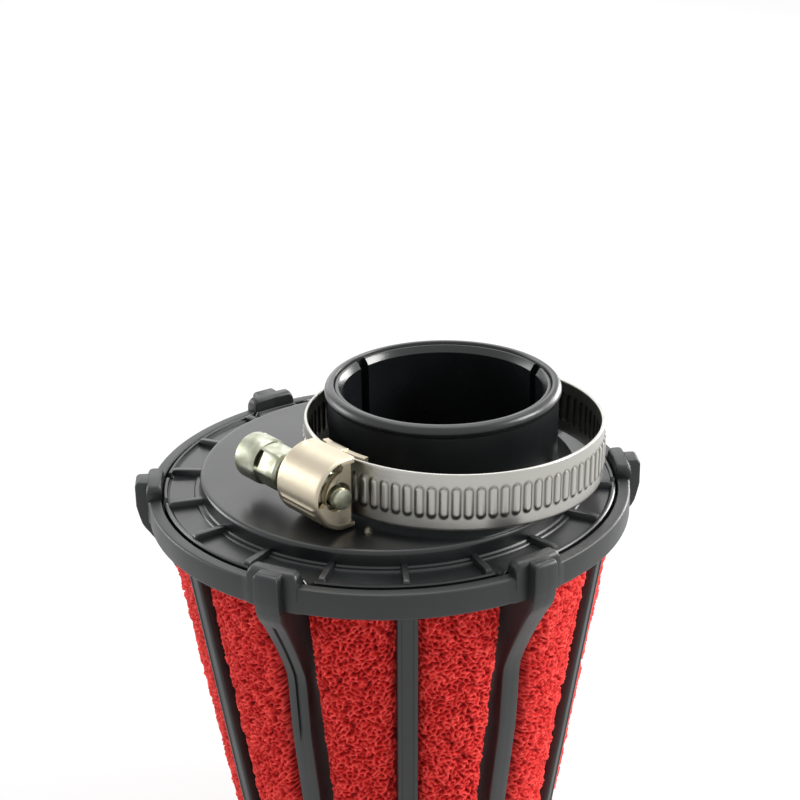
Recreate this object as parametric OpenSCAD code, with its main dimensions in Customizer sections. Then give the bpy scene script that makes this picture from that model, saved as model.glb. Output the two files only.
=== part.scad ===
// Cone air filter for a small motorcycle engine: a moulded cage round a foam
// cone, a clipped base plate with an offset inlet neck, and a worm-drive clamp.
// Origin: centre of the end cap's bottom face. +Z runs up the filter's axis,
// +X points to the side that the inlet neck is offset to.

/* [Cage ring] */
// Outer radius of the cage's top ring
ring_r = 51; // [46:0.5:56]
// Height of the ring's outer wall
ring_h = 5.5; // [4.5:0.1:8]
// Thickness of the ring's wall, which is also the width of its lip
ring_wall = 2.6; // [2:0.1:3.2]
// Width of the ledge inside the ring that carries the base plate
ledge_w = 5.4; // [4:0.1:7]
// Thickness of that ledge
ledge_t = 1.5; // [1:0.1:2]
// Height from the end cap's bottom to the ring's top
cage_h = 96; // [80:1:120]
// Chamfer on the ring's outer edges
ring_chamfer = 0.5; // [0.2:0.1:0.8]

/* [Clips] */
// Width of each lug block along the ring
lug_w = 11.2; // [9:0.2:13]
// Height of the lug block above the ring's top
lug_h = 3; // [2:0.1:3.5]
// How far the lug's pad stands out of the ring's wall
pad_t = 0.5; // [0.4:0.1:1.2]
// Radius along the lug's top edges
lug_round = 1.2; // [0.4:0.1:1.3]
// Width of a clip arm at the ring
arm_w = 4.9; // [4:0.1:7]
// How far the arm's outer face stands out of the ring's wall
arm_out = 2.7; // [2.2:0.1:4]
// Height of the arm's top above the ring's top
arm_rise = 2.3; // [0.5:0.1:2.6]
// Length of the arm's upright part below the ring's bottom
arm_drop = 3; // [2:0.1:5]
// How far the arm leans in over its lower half
arm_lean = 2; // [1:0.1:3]
// Width of the fin that the arm runs down into
fin_w = 4.2; // [3:0.1:5]
// Distance from the ring's bottom to the bend where the fin flattens
bend_drop = 8; // [6:0.1:10]
// Height of the fin over the foam at that bend
bend_h = 3.2; // [2.8:0.1:4]
// Distance below the ring's top at which the fin has sunk to its foot
fin_end = 22; // [21:1:40]
// Width of the fin's foot on the foam
foot_w = 8; // [6:0.1:9]
// Thickness of that foot
foot_t = 1.2; // [0.8:0.1:2]
// Width of the groove down the fin's outer edge
fin_groove_w = 1.1; // [0.8:0.1:1.6]
// Depth of that groove
fin_groove_d = 0.6; // [0.4:0.1:0.8]

/* [Flat ribs] */
// Width of the flat ribs between the clips
rib_w = 4.1; // [3:0.1:6]
// Thickness of the flat ribs
rib_t = 2.2; // [2:0.1:2.8]

/* [End cap] */
// Thickness of the end cap
cap_t = 3; // [2.4:0.1:5]
// Radius of the round on the cap's outer edge
cap_round = 1; // [0.5:0.1:1.2]
// Width of the flat foot that the cap stands on
cap_foot_w = 8; // [5:0.5:12]
// Depth of the dish inside the foot
cap_dish = 0.8; // [0.4:0.1:1.2]

/* [Foam] */
// Outer radius of the foam cone just below the ring
foam_top_r = 45.8; // [42:0.2:50]
// Outer radius of the foam cone at the end cap
foam_bottom_r = 32; // [26:0.5:38]
// Thickness of the foam
foam_t = 10; // [6:0.5:12]
// Room left round the foam
foam_gap = 0.3; // [0.2:0.05:0.5]

/* [Inner basket] */
// Thickness of the basket's ribs and hoops
basket_t = 1.6; // [1.2:0.1:2.4]
// Width of each basket rib
basket_rib_w = 2.2; // [1.6:0.1:4]
// Number of hoops round the basket
basket_hoops = 4; // [3:1:6]
// Height of each hoop
hoop_h = 2.4; // [1.6:0.1:4]

/* [Base plate] */
// Radial gap between the base plate and the ring
plate_gap = 0.55; // [0.4:0.05:0.8]
// Depth of the plate's rim floor below the ring's top
floor_drop = 0.4; // [0.2:0.1:1]
// Thickness of the plate
plate_t = 2; // [1.5:0.1:2.5]
// Radius of the raised disc in the middle
disc_r = 40; // [38:0.5:42]
// Height of the disc above the rim floor
disc_h = 3.9; // [3.2:0.1:5]
// Radius of the round on the disc's edge
disc_round = 1; // [0.4:0.1:1.4]
// Width of the radial ribs on the rim floor
chan_rib_w = 1.3; // [0.8:0.1:1.8]
// Height of the radial ribs
chan_rib_h = 1.3; // [0.8:0.1:2]
// Width of the thin bead round the plate's edge
bead_w = 0.6; // [0.4:0.1:1]
// Height of that bead
bead_h = 0.7; // [0.4:0.1:1.2]
// Thickness of the sealing ring under the plate
seal_t = 1.6; // [1:0.1:2]

/* [Inlet neck] */
// Distance from the filter's axis to the neck's axis
neck_off = 11.6; // [8:0.2:12.4]
// Outer radius of the neck
neck_r = 24.2; // [23:0.1:25]
// Wall of the neck
neck_wall = 1.4; // [1.2:0.05:2]
// Height of the neck above the disc
neck_h = 18.6; // [14:0.2:24]
// How far the rounded lip stands out of the neck
lip_out = 0.6; // [0.3:0.1:1]
// Height of the lip
lip_h = 3; // [2:0.1:4]
// Radius of the fillet at the neck's foot
foot_r = 0.8; // [0.4:0.1:1.2]

/* [Sleeve] */
// Bore radius of the sleeve, the radius of the spigot that it grips
bore_r = 21; // [19:0.1:21.6]
// Radial clearance between sleeve and neck
sleeve_fit = 0.08; // [0.04:0.01:0.1]
// Width of the sleeve's slots
slot_w = 2; // [1.2:0.1:3]
// Depth of the slots
slot_d = 13; // [8:0.5:16]
// Depth of the sleeve's top below the neck's top
sleeve_inset = 0.5; // [0.2:0.1:1]
// Width of the stop below the sleeve, which the spigot butts against
stop_w = 1.2; // [0.6:0.1:2]
// Height of the chamfer inside the sleeve's mouth
sleeve_chamfer = 1.4; // [0.8:0.1:2]
// Width of that chamfer
mouth_w = 0.9; // [0.5:0.1:1]
// Direction of the first slot, seen from above
slot_az = 18; // [0:1:119]

/* [Hose clamp] */
// Inner radius of the band
band_r = 30.5; // [30:0.1:33]
// Thickness of the band
band_t = 0.7; // [0.6:0.05:0.9]
// Width of the band
band_w = 12; // [9:0.1:12.6]
// Pitch of the thread pressed into the band
band_pitch = 2.4; // [2:0.1:3]
// Length of each thread groove across the band
groove_l = 7.2; // [5:0.1:8]
// Width of each thread groove along the band
groove_w = 1.2; // [0.8:0.1:1.4]
// Depth of the thread grooves
groove_d = 0.3; // [0.15:0.05:0.4]
// How far the clamp lies from the neck's axis, along X
clamp_dx = 1.8; // [0:0.1:2]
// How far the clamp lies from the neck's axis, along Y
clamp_dy = -4.6; // [-4.8:0.1:0]
// Direction of the clamp's housing, seen from above
housing_az = 216.5; // [180:0.5:270]
// Radius of the worm screw
worm_r = 4.1; // [3.6:0.1:4.4]
// Length of the housing along the screw
housing_l = 13; // [11:0.5:16]
// Sheet thickness of the housing and the saddle
sheet_t = 1.2; // [0.8:0.05:1.4]
// Width of the crescent slot in the housing's front end
crescent_w = 1.2; // [0.8:0.1:1.4]
// Skin left outside that slot
crescent_skin = 0.4; // [0.3:0.05:0.5]
// How far the end walls reach past the screw's axis towards the band
wall_reach = 3.2; // [3.2:0.1:3.8]
// Width of the tabs that hold the housing to the saddle
tab_w = 5; // [3:0.5:7]
// Thickness of those tabs
tab_t = 0.5; // [0.4:0.05:0.6]
// Size of the screw's hexagon across its flats
hex_af = 8; // [6:0.5:8]
// Length of the hexagon
hex_l = 6; // [5:0.1:8]
// Radius of the round collar at the head's far end
collar_r = 4.9; // [4.7:0.1:5.2]
// Length of that collar
collar_l = 6.5; // [4:0.1:7]
// Chamfer on the collar's edges
collar_chamfer = 0.8; // [0.4:0.1:1]
// Width of the screwdriver slot in the collar
head_slot_w = 1.2; // [0.8:0.1:1.6]
// Depth of that slot
head_slot_d = 2; // [1:0.1:3]
// Length of the waist between hexagon and housing
waist_l = 2.6; // [2:0.1:5]
// Radius of the waist
waist_r = 2.6; // [2:0.1:3]
// Radius of the screw's tip
tip_r = 2.2; // [1.6:0.1:2.4]
// How far the tip stands out of the housing
tip_l = 1.6; // [0.8:0.1:2.5]

/* [Hidden] */
$fn = 96;

CLIPS = 6;                     // clips round the ring, one flat rib between each two
CHAN_RIBS = 3 * CLIPS;         // radial ribs on the base plate
SEAT = 0.3;                    // room where two pieces only rest against each other
SLOTS = 3;                     // slots round the sleeve
EPS = 0.01;                    // overlap that joins the shapes of one solid
BITE = 0.05;                   // overlap of joined shapes, and how far the end walls are set in
CLEAR = 1;                     // how far a cut runs on past the solid
COVER = 2;                     // degrees that the plain band shows beside the housing
CRESCENT_A = [-10, 80];        // where the crescent starts and ends, from outwards to up

ring_in = ring_r - ring_wall;
ledge_in = ring_in - ledge_w;
ring_bot = cage_h - ring_h;
pad_r = ring_r + pad_t;
arm_r = ring_r + arm_out;
plate_r = ring_in - plate_gap;
seal_z = ring_bot + ledge_t;
floor_z = cage_h - floor_drop;
plate_z = seal_z + seal_t;
disc_z = floor_z + disc_h;
disc_wall = plate_t;
neck_top = disc_z + neck_h;
neck_in = neck_r - neck_wall;
lip_r = neck_r + lip_out;
sleeve_r = neck_in - sleeve_fit;
sleeve_top = neck_top - sleeve_inset;
sleeve_bot = plate_z + plate_t;
sleeve_edge = 0.4;
foam_z0 = cap_t;
foam_z1 = ring_bot - foam_gap;
cap_r = foam_bottom_r + foam_gap + rib_t + BITE;
worm_fit = 0.15;
tail_gap = 0.05;
band_out = band_r + band_t;
tail_out = band_out + tail_gap + band_t;
screw_off = tail_out + worm_fit + worm_r;
ear_drop = SEAT + sheet_t;
vault_r = band_w / 2 + SEAT;
vault_drop = vault_r - worm_r - worm_fit;
cover_a = asin(housing_l / 2 / screw_off) + COVER;
saddle_gap = 0.1;
saddle_out = band_r - saddle_gap;
saddle_in = saddle_out - sheet_t;
skirt_r = tail_out + SEAT;
vault_out = vault_r + sheet_t;
head_r = hex_af / sqrt(3);
worm_l = housing_l - 2 * (sheet_t + SEAT);
clamp_lean = asin(ear_drop / (screw_off - vault_drop + band_out));
clamp_z = disc_z + SEAT + cos(clamp_lean) * band_w / 2 + sin(clamp_lean) * band_out;

// Outer radius of the foam cone at height z
function foam_r(z) = foam_bottom_r
  + (foam_top_r - foam_bottom_r) * (z - foam_z0) / (foam_z1 - foam_z0);
// Outer radius of the basket, which the foam is pulled over
function basket_r(z) = foam_r(z) - foam_t - foam_gap;

// Puts its children at one clip station, with X pointing outwards
module at_clip(k) { rotate([0, 0, k * 360 / CLIPS]) children(); }

// Extrudes an outline drawn in radius and height to a width across the station
module across(w) {
  rotate([90, 0, 0]) translate([0, 0, -w / 2]) linear_extrude(w) children();
}

// Rectangle from [x0, y0] to [x1, y1] with its two upper corners rounded
module round_topped(x0, y0, x1, y1, r) {
  translate([x0, y0]) square([x1 - x0, y1 - y0 - r]);
  translate([x0 + r, y0]) square([x1 - x0 - 2 * r, y1 - y0]);
  for (x = [x0 + r, x1 - r]) translate([x, y1 - r]) circle(r);
}

// Top ring of the cage: wall, ledge for the base plate, pads and lug blocks
module cage_ring() {
  color("#2b2e30") {
    rotate_extrude() {
      polygon([[ring_in, seal_z], [ring_in, cage_h], [ring_r - ring_chamfer, cage_h],
        [ring_r, cage_h - ring_chamfer], [ring_r, ring_bot], [ledge_in, ring_bot],
        [ledge_in, seal_z]]);
    }
    for (k = [0:CLIPS - 1]) at_clip(k) lug();
  }
}

// Lug block: it stands on the ring over a pad on the outer wall
module lug() {
  lug_in = plate_r + SEAT;
  across(lug_w) round_topped(lug_in, cage_h - ring_h / 2, pad_r, cage_h + lug_h, lug_round);
  across(lug_w) polygon([[ring_r - ring_wall / 2, ring_bot], [pad_r, ring_bot],
    [pad_r, cage_h], [ring_r - ring_wall / 2, cage_h]]);
}

// Clip arm: an upright strap on the lug's pad that runs down into a fin with a flat foot
module clip_arm() {
  top_z = cage_h + arm_rise;
  knee = [arm_r - arm_lean, ring_bot - arm_drop];
  bend_z = ring_bot - bend_drop;
  bend = [foam_r(bend_z) + foam_gap + bend_h, bend_z];
  end_z = cage_h - fin_end;
  end = [foam_r(end_z) + foam_gap + foot_t, end_z];
  toe_r = foam_r(foam_z0) + foam_gap;
  heel_r = foam_r(foam_z1) + foam_gap;
  back_r = pad_r - arm_lean / 2;
  strap = [[pad_r, top_z], [arm_r, top_z], [arm_r, ring_bot + ring_h / 2], knee];
  slope = atan2(bend[0] - end[0], bend[1] - end[1]);
  color("#2b2e30") difference() {
    union() {
      across(fin_w) polygon(concat(strap, [bend, end, [toe_r + foot_t, cap_t], [toe_r, cap_t],
        [heel_r, ring_bot], [pad_r, ring_bot]]));
      across(arm_w) polygon(concat(strap,
        [[back_r, knee[1]], [back_r, ring_bot], [pad_r, ring_bot]]));
      across(foot_w) polygon([[toe_r, cap_t], [toe_r + foot_t, cap_t],
        [heel_r + foot_t, ring_bot], [heel_r, ring_bot]]);
    }
    translate([end[0], 0, end[1]]) rotate([0, slope, 0])
      translate([-fin_groove_d, -fin_groove_w / 2, 0])
        cube([bend_h, fin_groove_w, (bend[1] - end[1]) / cos(slope)]);
  }
}

// Flat rib: it lies on the foam from the ring's underside to the end cap
module flat_rib() {
  toe_r = foam_r(foam_z0) + foam_gap;
  heel_r = foam_r(foam_z1) + foam_gap;
  color("#34383a") across(rib_w) polygon([[toe_r, cap_t], [toe_r + rib_t, cap_t],
    [heel_r + rib_t, ring_bot], [heel_r, ring_bot]]);
}

// End cap: closed small end with a flat foot, a dish and a collar for the basket
module end_cap() {
  foot_in = cap_r - cap_foot_w;
  collar_r = basket_r(foam_z0) - basket_t - SEAT;
  color("#2b2e30") rotate_extrude() {
    difference() {
      union() {
        square([cap_r - cap_round, cap_t]);
        translate([0, cap_round]) square([cap_r, cap_t - cap_round]);
        translate([cap_r - cap_round, cap_round]) circle(cap_round);
        translate([collar_r - basket_t, 0]) square([basket_t, cap_t + hoop_h]);
      }
      translate([-EPS, -EPS]) square([foot_in, cap_dish + EPS]);
    }
  }
}

// Foam cone: one closed sleeve, with a collar that the base plate presses on
module foam_cone() {
  collar_r = ledge_in - foam_gap;
  z0 = foam_z0 + SEAT;
  z1 = plate_z - SEAT;
  color("#d22b26") rotate_extrude() polygon([
    [basket_r(z0) + foam_gap, z0], [foam_r(z0), z0], [foam_r(foam_z1), foam_z1],
    [collar_r, foam_z1], [collar_r, z1], [basket_r(z1) + foam_gap, z1]]);
}

// Inner basket: hoops joined by ribs, which keeps the foam from being sucked in
module inner_basket() {
  z0 = cap_t;
  z1 = plate_z - SEAT;
  step = (z1 - z0 - hoop_h) / (basket_hoops - 1);
  color("#1f2223") {
    for (i = [0:basket_hoops - 1]) {
      z = z0 + i * step;
      rotate_extrude() polygon([[basket_r(z) - basket_t, z], [basket_r(z), z],
        [basket_r(z + hoop_h), z + hoop_h], [basket_r(z + hoop_h) - basket_t, z + hoop_h]]);
    }
    for (k = [0:CLIPS - 1]) at_clip(k + 1 / 2) across(basket_rib_w)
      polygon([[basket_r(z0) - basket_t, z0], [basket_r(z0) - BITE, z0],
        [basket_r(z1) - BITE, z1], [basket_r(z1) - basket_t, z1]]);
  }
}

// Sealing ring: soft flat ring between the cage's ledge and the base plate
module rim_seal() {
  color("#17191a") rotate_extrude() translate([ledge_in + SEAT, seal_z])
    square([plate_r - ledge_in - 2 * SEAT, seal_t]);
}

// Base plate: ribbed rim and raised disc, round the offset inlet neck
module base_plate() {
  wall_in = disc_r - disc_wall;
  color("#26292b") difference() {
    union() {
      rotate_extrude() plate_section(wall_in);
      for (k = [0:CHAN_RIBS - 1]) rotate([0, 0, (k + 1 / 2) * 360 / CHAN_RIBS])
        translate([disc_r - disc_round, -chan_rib_w / 2, floor_z - EPS])
          cube([plate_r - bead_w / 2 - disc_r + disc_round, chan_rib_w, chan_rib_h + EPS]);
    }
    translate([neck_off, 0, 0]) cylinder(r = neck_r, h = neck_top);
  }
}

// Half section of the plate: rim floor with its edge bead, disc wall and disc top
module plate_section(wall_in) {
  translate([wall_in, plate_z]) square([plate_r - wall_in, floor_z - plate_z]);
  translate([plate_r - bead_w, floor_z - EPS]) square([bead_w, bead_h + EPS]);
  translate([wall_in, plate_z]) square([disc_wall, disc_z - disc_round - plate_z]);
  translate([0, disc_z - plate_t]) square([disc_r - disc_round, plate_t]);
  translate([wall_in, plate_z]) square([disc_wall - disc_round, disc_z - plate_z]);
  translate([disc_r - disc_round, disc_z - disc_round]) circle(disc_round);
}

// Inlet neck: tube moulded on to the disc, with a stop for the sleeve and a rounded lip
module inlet_neck() {
  color("#26292b") translate([neck_off, 0, 0]) rotate_extrude() {
    translate([bore_r - stop_w, plate_z])
      square([neck_r - bore_r + stop_w, sleeve_bot - plate_z]);
    translate([neck_in, plate_z]) square([neck_wall, neck_top - plate_z]);
    intersection() {
      translate([lip_r - lip_h / 2, neck_top - lip_h / 2]) circle(lip_h / 2);
      translate([neck_in, neck_top - lip_h]) square(lip_h);
    }
    difference() {
      translate([neck_r - EPS, disc_z]) square(foot_r + EPS);
      translate([neck_r + foot_r, disc_z + foot_r]) circle(foot_r);
    }
  }
}

// Sleeve: slotted bush that the clamp squeezes onto the engine's spigot
module neck_sleeve() {
  color("#303436") translate([neck_off, 0, 0]) difference() {
    rotate_extrude() polygon([[bore_r, sleeve_bot], [sleeve_r, sleeve_bot],
      [sleeve_r, sleeve_top - sleeve_edge], [sleeve_r - sleeve_edge, sleeve_top],
      [bore_r + mouth_w, sleeve_top], [bore_r, sleeve_top - sleeve_chamfer]]);
    for (k = [0:SLOTS - 1]) rotate([0, 0, slot_az + k * 360 / SLOTS])
      translate([bore_r - CLEAR, -slot_w / 2, sleeve_top - slot_d])
        cube([neck_r, slot_w, slot_d + CLEAR]);
  }
}

// Stands its children on the disc as the loose clamp lies, housing side raised
module clamp_frame() {
  translate([neck_off + clamp_dx, clamp_dy, clamp_z])
    rotate([0, 0, housing_az]) rotate([0, -clamp_lean, 0]) children();
}

// Sector of a flat ring, from angle a0 to a1 (under 180 degrees apart)
module sector(r_in, r_out, a0, a1) {
  far = 2 * r_out;
  intersection() {
    difference() {
      circle(r_out);
      circle(r_in);
    }
    polygon([[0, 0], far * [cos(a0), sin(a0)],
      far * [cos((a0 + a1) / 2), sin((a0 + a1) / 2)], far * [cos(a1), sin(a1)]]);
  }
}

// Band: a strip with pressed thread grooves, its free end lapped under the housing
module clamp_band() {
  step = band_pitch / band_out * 180 / PI;
  count = floor((360 - 2 * cover_a) / step);
  color("#b9b7b1") clamp_frame() difference() {
    translate([0, 0, -band_w / 2]) linear_extrude(band_w) {
      difference() {
        circle(band_out);
        circle(band_r);
      }
      sector(band_out + tail_gap, tail_out, -cover_a, cover_a / 2);
      sector(band_out - EPS, tail_out, cover_a / 4, cover_a / 2);
    }
    for (i = [0:count - 1]) rotate([0, 0, cover_a + (i + 1 / 2) * step])
      translate([band_out - groove_d, -groove_w / 2, -groove_l / 2])
        cube([CLEAR, groove_w, groove_l]);
  }
}

// Outline across the housing: a round vault over the screw with sides down to the band's tail
module housing_outline(grow) {
  half = vault_r + grow;
  foot = screw_off - skirt_r;
  intersection() {
    union() {
      translate([-vault_drop, 0]) circle(half);
      translate([-foot, -half]) square([foot - vault_drop, 2 * half]);
    }
    translate([-foot, -half]) square([foot + half, 2 * half]);
  }
}

// Wall across the vault, clear of the band, with a round hole for the screw
module end_wall(hole_r) {
  linear_extrude(sheet_t) difference() {
    intersection() {
      housing_outline(sheet_t / 2);
      translate([-wall_reach, -vault_out]) square(2 * vault_out);
    }
    circle(hole_r + worm_fit);
  }
}

// Lies its children along the screw, whose head end is -Z
module along_screw() {
  clamp_frame() translate([screw_off, 0, 0]) rotate([90, 0, 180]) children();
}

// Housing: pressed vault over the screw, with a crescent slot in its front end and two tabs
// folded past the band's edges on to the saddle
module clamp_housing() {
  skirts = screw_off - saddle_in;
  color("#d2c9b6") along_screw() mirror([1, 0, 0]) {
    difference() {
      union() {
        translate([0, 0, -housing_l / 2]) linear_extrude(housing_l) difference() {
          housing_outline(sheet_t);
          housing_outline(0);
        }
        translate([0, 0, housing_l / 2 - sheet_t - BITE]) end_wall(tip_r);
        translate([0, 0, BITE - housing_l / 2]) end_wall(waist_r);
      }
      translate([-vault_drop, 0, housing_l / 2 - sheet_t - 2 * BITE])
        linear_extrude(sheet_t + CLEAR)
          sector(vault_out - crescent_skin - crescent_w, vault_out - crescent_skin,
            CRESCENT_A[0], CRESCENT_A[1]);
    }
    for (edge = [0, 1]) mirror([0, edge, 0])
      translate([-skirts, vault_r + BITE, -tab_w / 2]) cube([skirts - vault_drop, tab_t, tab_w]);
  }
}

// Saddle: plate under the band that the housing's tabs are folded over
module clamp_saddle() {
  half_a = asin(housing_l / 2 / saddle_out);
  color("#c9c0ad") clamp_frame() translate([0, 0, -vault_r])
    linear_extrude(2 * vault_r) sector(saddle_in, saddle_out, -half_a, half_a);
}

// Screw: slotted collar, hexagon, waist, worm and plain tip
module clamp_screw() {
  hex_z = -housing_l / 2 - waist_l - hex_l;
  far_z = hex_z - collar_l;
  turns = floor(worm_l / band_pitch);
  root = worm_r - 2 * groove_d;
  flank = band_pitch / 3;
  color("#c3c6bb") along_screw() difference() {
    union() {
      rotate_extrude() polygon([[0, far_z], [collar_r - collar_chamfer, far_z],
        [collar_r, far_z + collar_chamfer], [collar_r, hex_z - collar_chamfer / 2],
        [collar_r - collar_chamfer / 2, hex_z], [0, hex_z]]);
      translate([0, 0, hex_z - EPS]) cylinder(r = head_r, h = hex_l, $fn = 6);
      translate([0, 0, hex_z]) cylinder(r = waist_r, h = -hex_z);
      translate([0, 0, -worm_l / 2]) cylinder(r = worm_r, h = worm_l);
      cylinder(r = tip_r, h = housing_l / 2 + tip_l);
    }
    for (i = [0:turns - 1]) translate([0, 0, (i + 1 / 2) * band_pitch - worm_l / 2])
      rotate_extrude()
        polygon([[root, 0], [worm_r + CLEAR, -flank], [worm_r + CLEAR, flank]]);
    translate([-collar_r, -head_slot_w / 2, far_z - CLEAR])
      cube([2 * collar_r, head_slot_w, head_slot_d + CLEAR]);
  }
}

cage_ring();
at_clip(0) clip_arm();  // clip_arm_1
at_clip(1) clip_arm();  // clip_arm_2
at_clip(2) clip_arm();  // clip_arm_3
at_clip(3) clip_arm();  // clip_arm_4
at_clip(4) clip_arm();  // clip_arm_5
at_clip(5) clip_arm();  // clip_arm_6
at_clip(0.5) flat_rib();  // flat_rib_1
at_clip(1.5) flat_rib();  // flat_rib_2
at_clip(2.5) flat_rib();  // flat_rib_3
at_clip(3.5) flat_rib();  // flat_rib_4
at_clip(4.5) flat_rib();  // flat_rib_5
at_clip(5.5) flat_rib();  // flat_rib_6
end_cap();
foam_cone();
inner_basket();
rim_seal();
base_plate();
inlet_neck();
neck_sleeve();
clamp_band();
clamp_housing();
clamp_saddle();
clamp_screw();
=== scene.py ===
"""Cone air filter with an offset inlet neck, a slotted sleeve and a loose worm-drive clamp.

Lengths are in millimetres and go through MM, apart from the lamps and the table, which are
placed in metres. The frame is the part's own.
"""

import math

import bmesh
import bpy
import numpy as np
from mathutils import Matrix, Vector, kdtree


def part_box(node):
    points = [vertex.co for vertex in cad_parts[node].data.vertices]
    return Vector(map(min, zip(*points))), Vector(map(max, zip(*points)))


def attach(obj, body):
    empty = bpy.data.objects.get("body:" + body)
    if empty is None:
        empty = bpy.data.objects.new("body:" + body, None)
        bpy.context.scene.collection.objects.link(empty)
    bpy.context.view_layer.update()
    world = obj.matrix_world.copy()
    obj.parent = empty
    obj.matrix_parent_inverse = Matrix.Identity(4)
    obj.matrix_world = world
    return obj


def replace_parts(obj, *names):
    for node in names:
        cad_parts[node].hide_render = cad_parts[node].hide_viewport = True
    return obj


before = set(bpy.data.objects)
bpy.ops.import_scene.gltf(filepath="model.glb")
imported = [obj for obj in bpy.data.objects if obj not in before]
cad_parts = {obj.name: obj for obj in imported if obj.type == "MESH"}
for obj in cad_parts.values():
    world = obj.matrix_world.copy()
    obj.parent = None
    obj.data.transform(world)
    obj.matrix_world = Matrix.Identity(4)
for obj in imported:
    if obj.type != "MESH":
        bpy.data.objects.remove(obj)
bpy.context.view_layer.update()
MM = 0.001

# Camera: a long lens a good arm's length away, looking down on the filter's neck.
# The filter stands turned a few degrees, and the camera leans about one degree.
LENS, SENSOR = 78.26, 36.0
DOWN, TURN, LEAN = 22.84, 4.0, -0.95
AIM = Vector((2.56, 0.0, 114.13)) * MM
REACH = 364.11 * MM
look = Vector((0, math.cos(math.radians(DOWN)), -math.sin(math.radians(DOWN))))
side = Vector((1, 0, 0))
rise = side.cross(look)
roll = math.radians(LEAN)
right = side * math.cos(roll) + rise * math.sin(roll)
top = rise * math.cos(roll) - side * math.sin(roll)
stand = AIM - look * REACH
pose = Matrix((right, top, -look)).transposed().to_4x4()
pose.translation = stand
eye = bpy.data.cameras.new("bench_camera")
eye.lens, eye.sensor_width, eye.clip_start, eye.clip_end = LENS, SENSOR, 0.01, 30.0
camera = bpy.data.objects.new("bench_camera", eye)
camera.matrix_world = Matrix.Rotation(math.radians(-TURN), 4, "Z") @ pose
bpy.context.scene.collection.objects.link(camera)
bpy.context.scene.camera = camera


# Light tent: a white sweep all round, a wide lamp above, one at the right, low ones in the
# right corner and on the far left, and a pale screen behind. The table is white card, and
# keeps the soft shadow.
def linear(code):
    """sRGB hex colour, such as d8302a, as linear RGBA."""
    parts = [int(code[i:i + 2], 16) / 255 for i in (0, 2, 4)]
    return [c / 12.92 if c <= 0.04045 else ((c + 0.055) / 1.055) ** 2.4 for c in parts] + [1.0]


def node(tree, kind, settings=None, links=None):
    """Adds one node: settings go to its sockets or fields, links are socket: source socket."""
    made = tree.nodes.new("ShaderNode" + kind)
    for key, value in (settings or {}).items():
        if isinstance(key, str) and hasattr(made, key):
            setattr(made, key, value)
        else:
            made.inputs[key].default_value = value
    for key, source in (links or {}).items():
        tree.links.new(source, made.inputs[key])
    return made


def ray_that_sees(tree):
    """1 for a ray from the camera, off a glossy face or through a clear one; 0 for soft light."""
    path = node(tree, "LightPath")
    seen = node(tree, "Math", {"operation": "MAXIMUM"},
                {0: path.outputs["Is Camera Ray"], 1: path.outputs["Is Glossy Ray"]})
    return node(tree, "Math", {"operation": "MAXIMUM"},
                {0: seen.outputs[0], 1: path.outputs["Is Transmission Ray"]}).outputs[0]


sky = bpy.data.worlds.new("light_tent")
sky.use_nodes = True
sky.node_tree.nodes.clear()
seen = ray_that_sees(sky.node_tree)
cloth = node(sky.node_tree, "Background", {"Color": linear("ffffff"), "Strength": 0.42})
white = node(sky.node_tree, "Background", {"Color": linear("ffffff"), "Strength": 1.0})
tent = node(sky.node_tree, "MixShader", {}, {0: seen, 1: cloth.outputs[0], 2: white.outputs[0]})
node(sky.node_tree, "OutputWorld", {}, {"Surface": tent.outputs[0]})
bpy.context.scene.world = sky
bpy.context.scene.view_settings.view_transform = "Standard"
LIT_POINT = Vector((0, 0, 0.07))


def lamp(name, place, width, power, colour):
    """A square soft lamp, in metres and watts, that looks at the middle of the filter."""
    light = bpy.data.lights.new(name, "AREA")
    light.shape, light.size, light.energy = "SQUARE", width, power
    light.color = linear(colour)[:3]
    holder = bpy.data.objects.new(name, light)
    holder.location = place
    holder.rotation_euler = (LIT_POINT - Vector(place)).to_track_quat("-Z", "Y").to_euler()
    bpy.context.scene.collection.objects.link(holder)


lamp("lamp_above", (0.1, 0.35, 1.1), 0.9, 6.0, "ffffff")
lamp("lamp_right", (0.95, -0.05, 0.6), 0.4, 10.0, "fffefc")
lamp("lamp_corner", (0.7, 0.65, 0.21), 0.4, 6.0, "fffefc")
lamp("lamp_left", (-0.9, 0.45, 0.27), 0.5, 4.5, "fdfeff")
lamp("screen_behind", (-0.15, 1.15, 0.55), 1.0, 3.2, "ffffff")

card = bpy.data.materials.new("white_card")
card.use_nodes = True
tree = card.node_tree
tree.nodes.clear()
share = node(tree, "Math", {"operation": "MULTIPLY", 1: 0.8}, {0: ray_that_sees(tree)})
matt = node(tree, "BsdfDiffuse", {"Color": linear("f4f4f4")})
glow = node(tree, "Emission", {"Color": linear("ffffff"), "Strength": 1.0})
both = node(tree, "MixShader", {}, {0: share.outputs[0], 1: matt.outputs[0], 2: glow.outputs[0]})
node(tree, "OutputMaterial", {}, {"Surface": both.outputs[0]})
sheet = bpy.data.meshes.new("table_card")
HALF = 6.0
corners = [(-HALF, -HALF, 0), (HALF, -HALF, 0), (HALF, HALF, 0), (-HALF, HALF, 0)]
sheet.from_pydata(corners, [], [(0, 1, 2, 3)])
table = bpy.data.objects.new("table_card", sheet)
table.data.materials.append(card)
bpy.context.scene.collection.objects.link(table)


# Cage ring: the hard outer rim of the cage, one moulding with the ribs, in black
# glass-filled nylon. Its flat lip and the six lug caps come straight from the tool,
# with every edge softened by the mould.
def span(name):
    """Lowest and highest corner of a solid of the frame, in mm."""
    return [np.array(corner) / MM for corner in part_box(name)]


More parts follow.
